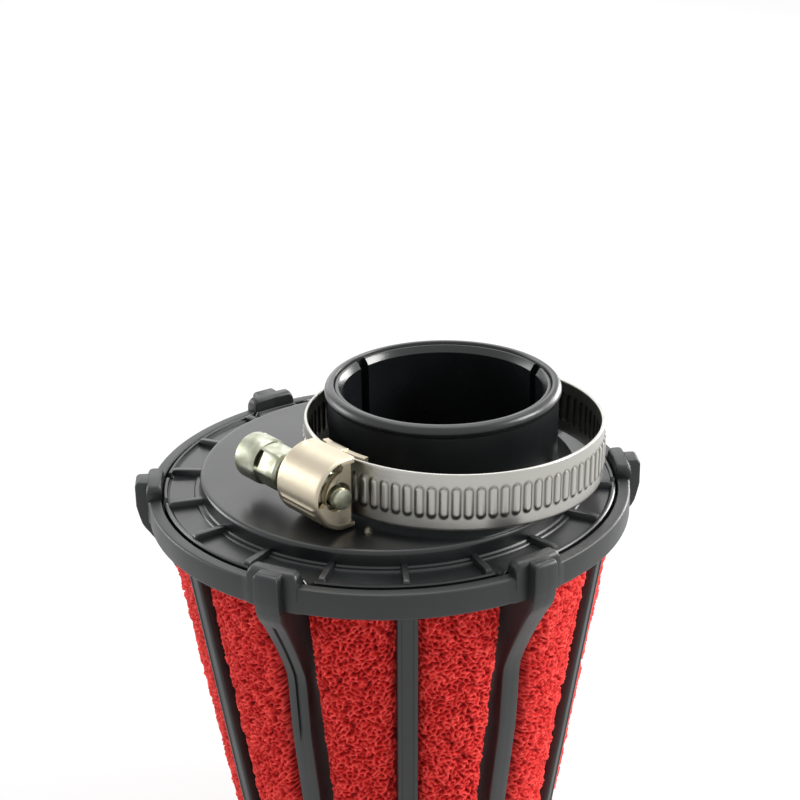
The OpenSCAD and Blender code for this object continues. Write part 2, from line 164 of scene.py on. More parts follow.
def finish(name, settings):
    """A material with one shader; values that hold all over sit on its own sockets."""
    made = bpy.data.materials.new(name)
    made.use_nodes = True
    made.node_tree.nodes.clear()
    shader = node(made.node_tree, "BsdfPrincipled", settings)
    node(made.node_tree, "OutputMaterial", {}, {"Surface": shader.outputs[0]})
    return made, made.node_tree, shader


def feed(tree, shader, colour, gloss, normal):
    """Links the three things that vary over a surface to its shader."""
    tree.links.new(colour, shader.inputs["Base Color"])
    tree.links.new(gloss.outputs[0], shader.inputs["Roughness"])
    tree.links.new(normal.outputs[0], shader.inputs["Normal"])


def moulded_nylon(name, tone, worn_tone, low_gloss, high_gloss):
    """Injection-moulded nylon: satin black, its gloss uneven where the melt flowed.

    The spark-eroded grain of the tool is about 0.1 mm; it is drawn at 0.35 mm to show.
    """
    made, tree, shader = finish(name, {"IOR": 1.53})
    place = node(tree, "TexCoord").outputs["Object"]
    flow = node(tree, "TexNoise", {"Scale": 1 / (14 * MM), "Detail": 3.0}, {"Vector": place})
    grain = node(tree, "TexNoise", {"Scale": 1 / (0.35 * MM), "Detail": 2.0}, {"Vector": place})
    tint = node(tree, "Mix", {"data_type": "RGBA", 6: linear(tone), 7: linear(worn_tone)},
                {"Factor": flow.outputs["Fac"]})
    gloss = node(tree, "MapRange", {"From Min": 0.3, "From Max": 0.7, "To Min": low_gloss,
                                    "To Max": high_gloss}, {"Value": flow.outputs["Fac"]})
    skin = node(tree, "Bump", {"Strength": 0.12, "Distance": 0.02 * MM}, {"Height": grain.outputs["Fac"]})
    feed(tree, shader, tint.outputs[2], gloss, skin)
    return made


def circle(radius, height, middle=(0.0, 0.0), count=240):
    """Loop of points round a vertical axis; the radius and height may change on the way."""
    turn = np.arange(count) * 2 * np.pi / count
    return np.stack([middle[0] + radius * np.cos(turn), middle[1] + radius * np.sin(turn),
                     np.zeros(count) + height], axis=-1)


def rounded(corners, steps=5):
    """Closed outline through (x, y, fillet radius) corners."""
    outline = []
    for i, (x, y, fillet) in enumerate(corners):
        here = np.array((x, y), float)
        if not fillet:
            outline.append(here)
            continue
        back = np.array(corners[i - 1][:2], float) - here
        on = np.array(corners[(i + 1) % len(corners)][:2], float) - here
        back, on = back / np.linalg.norm(back), on / np.linalg.norm(on)
        half = math.acos(max(-1.0, min(1.0, back @ on))) / 2
        centre = here + (back + on) / np.linalg.norm(back + on) * fillet / math.sin(half)
        first = here + back * fillet / math.tan(half) - centre
        last = here + on * fillet / math.tan(half) - centre
        start = math.atan2(first[1], first[0])
        sweep = (math.atan2(last[1], last[0]) - start + math.pi) % (2 * math.pi) - math.pi
        for k in range(steps + 1):
            a = start + sweep * k / steps
            outline.append(centre + fillet * np.array((math.cos(a), math.sin(a))))
    return np.array(outline)


def loft(loops, ends="joined"):
    """Skin over a row of equal loops: the last joins the first, or both ends are capped."""
    loops = np.asarray(loops, float)
    rows, count = loops.shape[:2]
    index = np.arange(rows * count).reshape(rows, count)
    used = rows if ends == "joined" else rows - 1
    after = np.roll(index, -1, axis=1)
    faces = np.stack([index[:used], after[:used], np.roll(after, -1, axis=0)[:used],
                      np.roll(index, -1, axis=0)[:used]], axis=-1).reshape(-1, 4).tolist()
    if ends == "capped":
        faces += [index[0][::-1].tolist(), index[-1].tolist()]
    return loops.reshape(-1, 3), faces


def piece(name, parts, cover, body, crease=32.0):
    """One riding object from (points in mm, faces) parts; edges over the crease stay sharp."""
    points, faces, start = [], [], 0
    for part_points, part_faces in parts:
        points.append(part_points)
        faces += [[start + i for i in face] for face in part_faces]
        start += len(part_points)
    skin = bpy.data.meshes.new(name)
    skin.from_pydata((np.concatenate(points) * MM).tolist(), [], faces)
    work = bmesh.new()
    work.from_mesh(skin)
    bmesh.ops.recalc_face_normals(work, faces=work.faces)
    work.to_mesh(skin)
    work.free()
    skin.shade_smooth()
    skin.set_sharp_from_angle(angle=math.radians(crease))
    skin.materials.append(cover)
    made = bpy.data.objects.new(name, skin)
    bpy.context.scene.collection.objects.link(made)
    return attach(made, body)


def turned(points, degrees):
    """Points turned round the filter's axis."""
    a = math.radians(degrees)
    swing = np.array([[math.cos(a), -math.sin(a), 0], [math.sin(a), math.cos(a), 0], [0, 0, 1]])
    return np.asarray(points) @ swing.T


CLIPS = 6
nylon = moulded_nylon("satin_black_nylon", "17191a", "1f2223", 0.38, 0.50)
RING_R, RING_IN, LEDGE_IN, SEAL_Z, PAD_T = 51.0, 48.4, 43.0, 92.0, 0.3
LUG_W, LUG_ROUND, LUG_END, LUG_SUNK, LUG_INSET = 10.8, 1.2, 1.5, 2.5, 0.2
low, high = span("cage_ring")
RING_LOW, LUG_TOP, PAD_R = low[2], high[2], high[0]
RING_TOP = LUG_TOP - 3.0
beside = (np.arange(360) + 30) % 60 - 30
pad = PAD_T * np.clip((6.8 - abs(beside)) / 0.6, 0, 1)
rim = rounded([(LEDGE_IN, RING_LOW, 0.3), (RING_R, RING_LOW, 0.7), (RING_R, RING_TOP, 0.6),
               (RING_IN, RING_TOP, 0.4), (RING_IN, SEAL_Z, 0.2), (LEDGE_IN, SEAL_Z, 0.3)])
parts = [loft([circle(r + pad * (r > RING_R - 1.0), z, count=360) for r, z in rim])]
for k in range(CLIPS):
    cap = []
    for bend in np.concatenate([np.linspace(-90, 0, 7), np.linspace(0, 90, 7)]):
        a = math.radians(bend)
        across = math.copysign(LUG_W / 2 - LUG_END, a) + LUG_END * math.sin(a) if bend else 0.0
        top_z = LUG_TOP - LUG_END * (1 - math.cos(a))
        foot_z = RING_TOP - LUG_SUNK
        slice_rz = rounded([(RING_IN - LUG_INSET, foot_z, 0), (PAD_R - 0.1, foot_z, 0),
                            (PAD_R - 0.1, top_z, LUG_ROUND), (RING_IN - LUG_INSET, top_z, 0.9)])
        swing = across / RING_R
        cap.append([(r * math.cos(swing), r * math.sin(swing), z) for r, z in slice_rz])
    points, faces = loft(cap, "capped")
    parts.append((turned(points, k * 360 / CLIPS), faces))
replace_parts(piece("cage_rim", parts, nylon, "cage"), "cage_ring")


# Clip arms: a strap on the outside of the ring under each lug cap, drawn in towards the
# cone and thinning into a fin that runs down the foam. Moulded in one with the cage.
FOAM_Z0, FOAM_Z1, FOAM_R0, FOAM_R1, FOAM_GAP = 3.0, 90.2, 32.0, 45.8, 0.3


def cone_r(z):
    """Outer radius of the foam cone at a height."""
    return FOAM_R0 + (FOAM_R1 - FOAM_R0) * (z - FOAM_Z0) / (FOAM_Z1 - FOAM_Z0)


def rib_slice(z, inner, outer, foot, crown, groove, groove_w, edge=0.4):
    """Level slice through a rib: wide foot inside, narrower crown outside with a groove."""
    half, reach = crown / 2, outer - inner
    flank = [(inner + reach * f, half + (foot / 2 - half) * (1 - f) ** 3.5)
             for f in (0.0, 0.08, 0.2, 0.36, 0.6, 0.85)]
    corner = [(outer - edge, half), (outer - 0.3 * edge, half - 0.3 * edge), (outer, half - edge)]
    slot_side = [(outer, groove_w / 2 + 0.15), (outer - groove, groove_w / 2)]
    right = flank + corner + slot_side
    return [(r, t, z) for r, t in right] + [(r, -t, z) for r, t in reversed(right)]


ARM_W, FIN_W, FOOT_W, GROOVE_W, SINK = 5.3, 4.4, 8.3, 0.6, 2.4
low, high = span("clip_arm_1")
ARM_R, ARM_TOP = high[0], high[2] + 0.5
for k in range(CLIPS):
    cut = 0.5 if k % 2 == 0 else 0.0   # the groove is only in every other fin
    strap = [(ARM_TOP, ARM_R - 0.9, 4.1), (ARM_TOP - 0.12, ARM_R - 0.5, 4.6),
             (ARM_TOP - 0.45, ARM_R - 0.15, 5.0), (ARM_TOP - 1.0, ARM_R, ARM_W),
             (93.4, ARM_R, ARM_W), (92.4, ARM_R - 0.2, ARM_W), (RING_LOW, ARM_R - 0.65, ARM_W)]
    slices = [rib_slice(z, RING_R - 0.1, r, w, w, 0.0, GROOVE_W) for z, r, w in strap]
    fin = [(RING_LOW, ARM_R - 0.65, ARM_W, 0), (89.2, 52.7, 5.2, 0), (88.2, 52.15, 5.15, 0),
           (87.2, 51.4, 5.1, 0), (86.4, 50.9, 5.0, 0), (86.0, 50.6, 4.95, cut), (82.6, 48.65, 4.7, cut),
           (78.9, 46.65, 4.5, cut), (74.8, 44.65, FIN_W, cut), (71.5, 43.3, FIN_W, cut),
           (69.0, 42.9, FIN_W, cut), (66.0, 42.7, FIN_W, cut), (58.0, cone_r(58.0) + 1.4, FIN_W, cut),
           (55.0, cone_r(55.0) + 1.5, FIN_W, 0), (40.0, cone_r(40.0) + 1.5, FIN_W, 0),
           (FOAM_Z0, cone_r(FOAM_Z0) + 1.5, FIN_W, 0)]
    slices += [rib_slice(z, cone_r(z) - SINK, r, FOOT_W, w, g, GROOVE_W) for z, r, w, g in fin]
    points, faces = loft(slices, "capped")
    arm = piece(f"clip_arm_fin_{k + 1}", [(turned(points, k * 360 / CLIPS), faces)], nylon, "cage")
    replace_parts(arm, f"clip_arm_{k + 1}")


# Flat ribs: one between each two clips, lying on the foam from the ring to the end cap,
# with a shallow sink along the outer face where the thick section cooled last.
RIB_W, RIB_T = 4.1, 2.2
for k in range(CLIPS):
    slices = [rib_slice(z, cone_r(z) - SINK, cone_r(z) + FOAM_GAP + RIB_T, RIB_W + 0.5, RIB_W, 0.18, 2.2)
              for z in (RING_LOW, 70.0, 50.0, 30.0, FOAM_Z0)]
    points, faces = loft(slices, "capped")
    rib = piece(f"side_rib_{k + 1}", [(turned(points, (k + 0.5) * 360 / CLIPS), faces)], nylon, "cage")
    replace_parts(rib, f"flat_rib_{k + 1}")


# End cap: the closed small end that the cage stands on, with a flat foot and a shallow
# dish; the same nylon, a little duller where it has rubbed on the bench.
def coat(name, cover):
    """Gives a solid of the frame, which stays as it is, its material."""
    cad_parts[name].data.materials.clear()
    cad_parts[name].data.materials.append(cover)


cap_nylon = moulded_nylon("rubbed_black_nylon", "191b1c", "26292a", 0.38, 0.55)
coat("end_cap", cap_nylon)


# Foam cone: red open-cell polyurethane, cut as a sleeve and pulled over the basket, so it
# swells out through the cage's windows. The cells are torn open at the skin: a tangle of
# struts over holes, drawn as two nets of struts, one a little below the other. The colour
# darkens with depth: a painted highlight on the strut tops, painted shade down in the holes.
CELL, STRUT, NET_DROP, PIT = 1.15, 0.17, 0.6, 1.6
SWELL, SWELL_RUN, PINCH = 2.0, 1.3, 0.4
UP, OPEN, UNDER = 350, 60, 10   # rows, and columns in each window and under each rib
low, high = span("foam_cone")
FOAM_LOW, FOAM_TOP = low[2], high[2]
draw = np.random.default_rng(11)
nets = []
for layer in range(2):
    seeds = []
    for z in np.arange(FOAM_LOW - 2, FOAM_Z1 + 2, CELL * 0.87):
        around = int(2 * np.pi * cone_r(z) / CELL)
        turn = (np.arange(around) + draw.random()) * 2 * np.pi / around
        turn += draw.uniform(-0.45, 0.45, around) * CELL / cone_r(z)
        height = z + draw.uniform(-0.45, 0.45, around) * CELL
        seeds.append(np.stack([cone_r(z) * np.cos(turn), cone_r(z) * np.sin(turn), height], axis=-1))
    seeds = np.concatenate(seeds).tolist()
    tree = kdtree.KDTree(len(seeds))
    for i, seed in enumerate(seeds):
        tree.insert(seed, i)
    tree.balance()
    nets.append((tree, seeds, draw.uniform(-0.3, 0.5, len(seeds)).tolist(), layer * NET_DROP))


def skin_depth(place):
    """How far the torn skin lies below the foam's outline at one place on the cone."""
    least = PIT
    for tree, seeds, drops, below in nets:
        (_, i1, d1), (_, i2, d2), (_, i3, d3) = tree.find_n(place, 3)
        aside = (d2 * d2 - d1 * d1) / (2 * math.dist(seeds[i1], seeds[i2]))
        torn = 0.7 if (i1 + i2) % 5 == 0 else 0.0
        crest = below + torn + (drops[i1] + drops[i2] + drops[i3]) / 2.4
        width = STRUT + 0.1 * max(0.0, 1 - (d3 - d1) / 0.4)
        over = aside / width
        least = min(least, crest + (0.15 * over * over if over < 1 else 0.15 + 5.5 * (aside - width)))
    return least


def paint(made, name, values):
    """One value per point for the material to read; points past the given ones get 0."""
    row = np.zeros(len(made.data.vertices), np.float32)
    row[:len(values)] = values
    made.data.attributes.new(name, "FLOAT", "POINT").data.foreach_set("value", row)


turn = []
SECTORS = ((-4.8, 4.8, UNDER), (4.8, 27.6, OPEN), (27.6, 32.4, UNDER // 2), (32.4, 55.2, OPEN))
for k in range(CLIPS):
    for start, stop, count in SECTORS:
        turn.append(k * 60 + np.linspace(start, stop, count, endpoint=False))
turn = np.radians(np.concatenate(turn))
ROUND = len(turn)
off_rib = abs((np.degrees(turn) + 15) % 30 - 15)
under_fin = np.round(np.degrees(turn) / 30) % 2 == 0
rib_half = np.where(under_fin, FOOT_W / 2 - 0.2, 2.1)
outer, pit_shade = [], []
for z in np.linspace(FOAM_LOW, FOAM_Z1, UP):
    clear = np.radians(off_rib) * cone_r(z) - rib_half
    held = min(1.0, max(0.0, (FOAM_Z1 - z) / 6)) * 0.6 + 0.4
    held *= min(1.0, max(0.0, (z - 1.0) / 8))
    base = cone_r(z) - PINCH + held * (SWELL + PINCH) * (1 - np.exp(-np.maximum(clear, 0) / SWELL_RUN))
    base -= under_fin * SINK * np.clip(1 - clear / 0.5, 0, 1)
    loop = []
    for a, r in zip(turn, base):
        pit = skin_depth((cone_r(z) * math.cos(a), cone_r(z) * math.sin(a), z))
        pit_shade.append(pit / PIT)
        loop.append(((r - pit) * math.cos(a), (r - pit) * math.sin(a), z))
    outer.append(loop)
COLLAR_R, BORE_LOW, BORE_TOP = 42.7, 22.0, 36.1
inside = [[(r * math.cos(a), r * math.sin(a), z) for a in turn] for r, z in
          ((COLLAR_R, FOAM_Z1), (COLLAR_R, FOAM_TOP), (BORE_TOP, FOAM_TOP), (BORE_LOW, FOAM_LOW))]
foam_red, tree, shader = finish("open_cell_red_foam", {"Roughness": 0.75, "IOR": 1.4})
# Colour by depth: a painted highlight on the strut tops, painted shade down in the holes.
depth = node(tree, "Attribute", {"attribute_name": "pit"}).outputs["Fac"]
depth_shade_ramp = node(tree, "ValToRGB", {}, {0: depth})
ramp = depth_shade_ramp.color_ramp
ramp.elements[0].position, ramp.elements[0].color = 0.0, linear("ff4d47")
ramp.elements[1].position, ramp.elements[1].color = 1.0, linear("360204")
middle_tone = ramp.elements.new(0.4)
middle_tone.color = linear("d41a1a")
tree.links.new(depth_shade_ramp.outputs[0], shader.inputs["Base Color"])
sleeve_of_foam = piece("foam_sleeve", [loft(outer + inside)], foam_red, "cage", crease=180.0)
# The inside faces take the darkest colour, as painted shade.
paint(sleeve_of_foam, "pit", np.concatenate([pit_shade, np.full(len(inside) * ROUND, 1.0)]))
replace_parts(sleeve_of_foam, "foam_cone")


# Inner basket: hoops and ribs of plain polypropylene that keep the foam from being sucked
# in; matt black, straight from the mould, and seen only down the neck.
basket_plastic = moulded_nylon("matt_black_polypropylene", "121414", "1b1d1d", 0.5, 0.62)
coat("inner_basket", basket_plastic)


# Rim seal: a flat ring of soft black rubber on the cage's ledge, which the base plate is
# clipped down on to. It is dull, with a faint bloom.
rubber, tree, shader = finish("soft_black_rubber", {"Base Color": linear("0e0f10"), "IOR": 1.52})
bloom = node(tree, "TexNoise", {"Scale": 1 / (4 * MM), "Detail": 4.0},
             {"Vector": node(tree, "TexCoord").outputs["Object"]})
dull = node(tree, "MapRange", {"To Min": 0.6, "To Max": 0.85}, {"Value": bloom.outputs["Fac"]})
tree.links.new(dull.outputs[0], shader.inputs["Roughness"])
coat("rim_seal", rubber)


# Base plate: the lid of the cage. A raised disc in the middle, a sunk rim crossed by
# radial ribs, and a thin bead round the edge, notched beside each lug so that the lugs
# can spring. Moulded nylon, a touch glossier than the cage.
base_nylon = moulded_nylon("glossy_black_nylon", "131516", "1a1c1e", 0.26, 0.36)
NECK_X, NECK_R = 11.6, 24.2
DISC_R, DISC_IN, FLOOR_Z, DISC_Z, PLATE_Z = 40.0, 38.0, 95.6, 99.5, 93.6
PLATE_R, BEAD_W, BEAD_H, STEP_W, STEP_H = 47.85, 0.9, 0.7, 1.4, 0.4
DISC_ROUND, DISC_FLAT, DISC_T, NECK_CUT, SPOKES = 0.9, 38.6, 2.0, 24.1, 3 * CLIPS
BEAD_IN, BEAD_Z = PLATE_R - BEAD_W, FLOOR_Z + BEAD_H
beside = abs((np.arange(480) * 0.75 + 30) % 60 - 30)
notch = np.clip((beside - 6.6) / 0.4, 0, 1) * np.clip((9.0 - beside) / 0.4, 0, 1)
rows = [(NECK_CUT, DISC_Z, "neck"), (DISC_FLAT, DISC_Z, "")]
rows += [(DISC_R - DISC_ROUND + DISC_ROUND * math.sin(a),
          DISC_Z - DISC_ROUND + DISC_ROUND * math.cos(a), "") for a in np.linspace(0, np.pi / 2, 7)]
rows += [(DISC_R + 0.1, FLOOR_Z + STEP_H + 0.3, ""), (DISC_R + 0.4, FLOOR_Z + STEP_H, ""),
         (DISC_R + STEP_W - 0.2, FLOOR_Z + STEP_H, ""), (DISC_R + STEP_W, FLOOR_Z + STEP_H - 0.15, ""),
         (DISC_R + STEP_W + 0.1, FLOOR_Z, ""), (BEAD_IN - 0.4, FLOOR_Z, ""),
         (BEAD_IN, FLOOR_Z + 0.25, "notched"), (BEAD_IN + 0.15, BEAD_Z - 0.1, "notched"),
         (BEAD_IN + 0.35, BEAD_Z, "notched"), (PLATE_R - 0.25, BEAD_Z, "notched"),
         (PLATE_R, BEAD_Z - 0.25, "notched"), (PLATE_R, PLATE_Z, ""), (DISC_IN, PLATE_Z, ""),
         (DISC_IN, DISC_Z - DISC_T, ""), (NECK_CUT, DISC_Z - DISC_T, "neck")]
loops = []
for r, z, kind in rows:
    middle = (NECK_X, 0.0) if kind == "neck" else (0.0, 0.0)
    drop = notch * (z - FLOOR_Z + 1.1) if kind == "notched" else 0.0
    loops.append(circle(r, z - drop, middle, count=480))
parts = [loft(loops)]
for k in range(SPOKES):
    spoke = []
    for r, rise in ((DISC_R - 0.5, 1.35), (46.2, 1.3), (46.9, 1.1), (47.2, 0.5)):
        outline = rounded([(-0.85, FLOOR_Z - 0.2, 0), (0.85, FLOOR_Z - 0.2, 0),
                           (0.62, FLOOR_Z + rise, 0.25), (-0.62, FLOOR_Z + rise, 0.25)], 3)
        spoke.append([(r, t, z) for t, z in outline])
    points, faces = loft(spoke, "capped")
    parts.append((turned(points, (k + 0.5) * 360 / SPOKES), faces))
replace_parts(piece("clip_in_lid", parts, base_nylon, "base"), "base_plate")


# Inlet neck: the tube that the hose clamp goes round, one moulding with the lid, with a
# fillet at its foot, a rounded lip on top and a step inside that stops the sleeve.
LIP_R, LIP_H, NECK_IN, STOP_R, FOOT = 24.8, 3.0, 22.8, 19.8, 0.8
low, high = span("inlet_neck")
NECK_TOP = high[2]
lip = LIP_H / 2
outline = [(NECK_R + FOOT, DISC_Z)]
outline += [(NECK_R + FOOT - FOOT * math.sin(a), DISC_Z + FOOT - FOOT * math.cos(a))
            for a in np.linspace(0.2, np.pi / 2, 6)]
outline += [(LIP_R - lip + lip * math.cos(a), NECK_TOP - lip + lip * math.sin(a))
            for a in np.radians(np.linspace(-53, 105, 14))]
outline += [(NECK_IN, NECK_TOP - 0.25), (NECK_IN, FLOOR_Z), (STOP_R + 0.3, FLOOR_Z),
            (STOP_R, FLOOR_Z - 0.3), (STOP_R, PLATE_Z), (NECK_R - 0.05, PLATE_Z), (NECK_R - 0.05, DISC_Z)]
neck = piece("offset_neck", [loft([circle(r, z, (NECK_X, 0.0)) for r, z in outline])], base_nylon, "base")
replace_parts(neck, "inlet_neck")


# Sleeve: the bush inside the neck, slotted in three places so that the clamp can close it
# on the spigot. Moulded nylon with a polished bore and a bevelled mouth.
sleeve_nylon = moulded_nylon("polished_black_nylon", "121415", "191b1d", 0.2, 0.3)
BORE_R, SLEEVE_R, SLOT_W, SLOT_D, SLOT_AZ, MOUTH_H, MOUTH_W = 21.0, 22.72, 2.6, 13.0, 18.0, 1.4, 0.9
low, high = span("neck_sleeve")
SLEEVE_LOW, SLEEVE_TOP = low[2], high[2]
SLOT_Z = SLEEVE_TOP - SLOT_D
parts = [loft([circle(r, z, (NECK_X, 0.0)) for r, z in
               ((BORE_R, SLEEVE_LOW), (SLEEVE_R, SLEEVE_LOW), (SLEEVE_R, SLOT_Z), (BORE_R, SLOT_Z))])]
mouth = rounded([(BORE_R, SLOT_Z, 0), (SLEEVE_R, SLOT_Z, 0), (SLEEVE_R, SLEEVE_TOP, 0.35),
                 (BORE_R + MOUTH_W, SLEEVE_TOP, 0.15), (BORE_R, SLEEVE_TOP - MOUTH_H, 0.2)], 3)
slot_half = math.degrees(math.asin(SLOT_W / 2 / BORE_R))
for k in range(3):
    first = SLOT_AZ + k * 120 + slot_half
    leaf = []
    for a in np.radians(np.linspace(first, first + 120 - 2 * slot_half, 60)):
        leaf.append([(NECK_X + r * math.cos(a), r * math.sin(a), z) for r, z in mouth])
    parts.append(loft(leaf, "capped"))
bush = piece("slotted_sleeve", parts, sleeve_nylon, "sleeve")
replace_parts(bush, "neck_sleeve")


# Clamp band: rolled steel strip of 12 mm, its edges dressed round, with the worm's thread
# pressed out of it as a row of round-ended ribs, each one a hollow on the inside. The
# clamp is loose: it lies on the lid, its housing side lifted by the saddle.
CLAMP_AT, CLAMP_AZ, CLAMP_LEAN = (13.4, -4.6, 106.515), 216.5, 1.315
clamp_frame = (Matrix.Translation(CLAMP_AT) @ Matrix.Rotation(math.radians(CLAMP_AZ), 4, "Z")
               @ Matrix.Rotation(math.radians(-CLAMP_LEAN), 4, "Y"))
clamp_frame = np.array(clamp_frame)


def clamped(points):
    """Points of the clamp's own frame, its axis up and its housing towards +X, put in place."""
    points = np.asarray(points, float)
    return points @ clamp_frame[:3, :3].T + clamp_frame[:3, 3]


BAND_R, BAND_T, BAND_W, PITCH, RIB_L, RIB_ACROSS, PRESS = 30.5, 0.7, 12.0, 2.4, 6.1, 1.4, 0.36
PLAIN, START = 12.3, 6.5   # degrees from the housing's middle where the thread ends and starts
STEPS = 840
up_band = np.concatenate([[-1.0, -0.985], np.linspace(-0.95, 0.95, 35), [0.985, 1.0]]) * BAND_W / 2
soft = np.interp(abs(up_band), [0, 5.7, 5.91, 6.0], [0, 0, 0.08, 0.22])
BAND_OUT = BAND_R + BAND_T
rib_step = math.degrees(PITCH / BAND_OUT)
ribs = int((360 - PLAIN - START) / rib_step)


def pressed(degrees, height):
    """Height of the pressed thread at one place, and how much painted shade lies round its foot."""
    run = degrees - START
    if not 0 <= run <= ribs * rib_step:
        return 0.0, 0.0
    aside = (run % rib_step - rib_step / 2) * math.radians(1) * BAND_OUT
    past = max(0.0, abs(height) - (RIB_L - RIB_ACROSS) / 2)
    beyond = math.hypot(aside, past) - RIB_ACROSS / 2
    up = min(1.0, max(0.0, 0.5 - beyond / 0.65))
    return PRESS * up * up * (3 - 2 * up), math.exp(-((beyond - 0.14) / 0.22) ** 2)


loops, rib_foot_shade = [], []
for step in range(STEPS):
    degrees = step * 360 / STEPS
    a = math.radians(degrees)
    face, back = [], []
    for height, ease in zip(up_band, soft):
        raised, painted_shade = pressed(degrees, height)
        r = BAND_OUT - ease + raised
        face.append((r * math.cos(a), r * math.sin(a), height))
        r = BAND_R + ease + 0.8 * raised
        back.append((r * math.cos(a), r * math.sin(a), height))
        rib_foot_shade.append(painted_shade)
    rib_foot_shade += rib_foot_shade[:-len(up_band) - 1:-1]
    loops.append(face + back[::-1])
points, faces = loft(loops)
tail = []
for a in np.radians(np.linspace(-PLAIN + 0.6, 6.0, 12)):
    outline = rounded([(BAND_OUT + 0.05, -5.9, 0.15), (BAND_OUT + 0.7, -5.9, 0.2),
                       (BAND_OUT + 0.7, 5.9, 0.2), (BAND_OUT + 0.05, 5.9, 0.15)], 2)
    tail.append([(r * math.cos(a), r * math.sin(a), h) for r, h in outline])
tail_points, tail_faces = loft(tail, "capped")
strip_steel, tree, shader = finish("rolled_steel_strip", {"Metallic": 1.0})
place = node(tree, "TexCoord").outputs["Object"]
pull = node(tree, "Mapping", {"Scale": (0.15, 0.15, 1.0)}, {"Vector": place})
lines = node(tree, "TexNoise", {"Scale": 1 / (0.5 * MM), "Detail": 3.0}, {"Vector": pull.outputs[0]})
blotch = node(tree, "TexNoise", {"Scale": 1 / (6 * MM), "Detail": 2.0}, {"Vector": place})
depth = node(tree, "Attribute", {"attribute_name": "rib_foot_shade"}).outputs["Fac"]
# The darker colour is painted shade round the foot of each pressed rib.
tint = node(tree, "Mix", {"data_type": "RGBA", 6: linear("b6b5af"), 7: linear("63615b")}, {"Factor": depth})
gloss = node(tree, "MapRange", {"To Min": 0.24, "To Max": 0.42}, {"Value": blotch.outputs["Fac"]})
skin = node(tree, "Bump", {"Strength": 0.25, "Distance": 0.02 * MM}, {"Height": lines.outputs["Fac"]})
feed(tree, shader, tint.outputs[2], gloss, skin)
band = piece("pressed_band", [(clamped(points), faces), (clamped(tail_points), tail_faces)], strip_steel,
             "clamp", crease=50.0)
paint(band, "rib_foot_shade", rib_foot_shade)
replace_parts(band, "clamp_band")


# Housing: sheet steel of 1.2 mm pressed to a round vault over the worm. Its front end is
# folded in round the screw's tip with a crescent left open, and a tab from each side goes
# round the band to the saddle. Zinc plated and passivated, so pale and faintly yellow.
SCREW_OFF, HOUSING_L, SHEET, VAULT_R, VAULT_DROP = 36.2, 13.0, 1.2, 6.3, 2.05
SKIRT_END, WALL_END, TAB_W, TAB_T, SADDLE_IN = -3.95, -3.2, 5.0, 0.5, 29.2
HOLE_R, CRESCENT_W, CRESCENT_SKIN, CRESCENT = 2.9, 1.9, 0.35, (-10.0, 80.0)
WALL_NEAR, WALL_FAR, REAR_HOLE_R, TAB_SHIFT = 5.3, 6.35, 2.75, 1.5
# Each side's tab: how far out from the screw, and how high its inner face lies there
TAB_RUN = ((SADDLE_IN - SCREW_OFF, 6.0), (-6.6, 6.12), (-6.1, 6.15), (-5.2, 6.15),
           (-3.9, 6.35), (-2.1, 6.35))


def by_screw(points):
    """Points given as (away from the band, up, along the screw towards its tip), put in place."""
    points = np.asarray(points, float)
    return clamped(np.stack([points[:, 0] + SCREW_OFF, points[:, 2], points[:, 1]], axis=-1))


zinc, tree, shader = finish("passivated_zinc_sheet", {"Metallic": 1.0})
place = node(tree, "TexCoord").outputs["Object"]
cloud = node(tree, "TexNoise", {"Scale": 1 / (5 * MM), "Detail": 4.0}, {"Vector": place})
fine = node(tree, "TexNoise", {"Scale": 1 / (0.4 * MM), "Detail": 3.0}, {"Vector": place})
tint = node(tree, "Mix", {"data_type": "RGBA", 6: linear("cac1ae"), 7: linear("b1a68f")},
            {"Factor": cloud.outputs["Fac"]})
gloss = node(tree, "MapRange", {"To Min": 0.3, "To Max": 0.42}, {"Value": cloud.outputs["Fac"]})
skin = node(tree, "Bump", {"Strength": 0.3, "Distance": 0.04 * MM}, {"Height": fine.outputs["Fac"]})
feed(tree, shader, tint.outputs[2], gloss, skin)


def vault_line(radius, along, ease, outside):
    """Half-round arch with straight sides down to the skirts, as (out, up) from below to above."""
    arch = []
    for degrees in np.linspace(-90, 90, 91):
        a = math.radians(degrees)
        swell = 0.0
        if outside:
            fade = min(1.0, max(0.0, (5.6 - abs(along)) / 0.6))
            swell += 0.22 * fade * sum(math.exp(-((degrees - mid) / 2.4) ** 2) for mid in (-14, -24))
            swell += 0.3 * math.exp(-((degrees - 84) / 7.0) ** 2 - ((along + 5.6) / 0.5) ** 2)
        elif along > 4.3 and CRESCENT[0] < degrees < CRESCENT[1]:
            swell += SHEET - CRESCENT_SKIN   # the crescent's outer edge lies inside the sheet
        r = radius - ease + swell
        arch.append((-VAULT_DROP + r * math.cos(a), r * math.sin(a), along))
    sides = np.linspace(SKIRT_END, -VAULT_DROP, 4)[:-1]
    return ([(x, -radius + ease, along) for x in sides] + arch
            + [(x, radius - ease, along) for x in sides[::-1]])


stations = [(-6.5, 0.45), (-6.42, 0.22), (-6.2, 0.06), (-5.9, 0.0)]
stations += [(s, 0.0) for s in np.linspace(-5.6, 5.15, 32)] + [(5.3, 0.0), (5.45, 0.0), (5.9, 0.0)]
stations += [(6.2, 0.06), (6.42, 0.22), (6.5, 0.35)]
vault = []
for along, ease in stations:
    skin_out = vault_line(VAULT_R + SHEET, along, ease, True)
    skin_in = vault_line(VAULT_R, along, 0.0, False)
    vault.append(skin_out + skin_in[::-1])
vault_points, vault_faces = loft(vault, "capped")


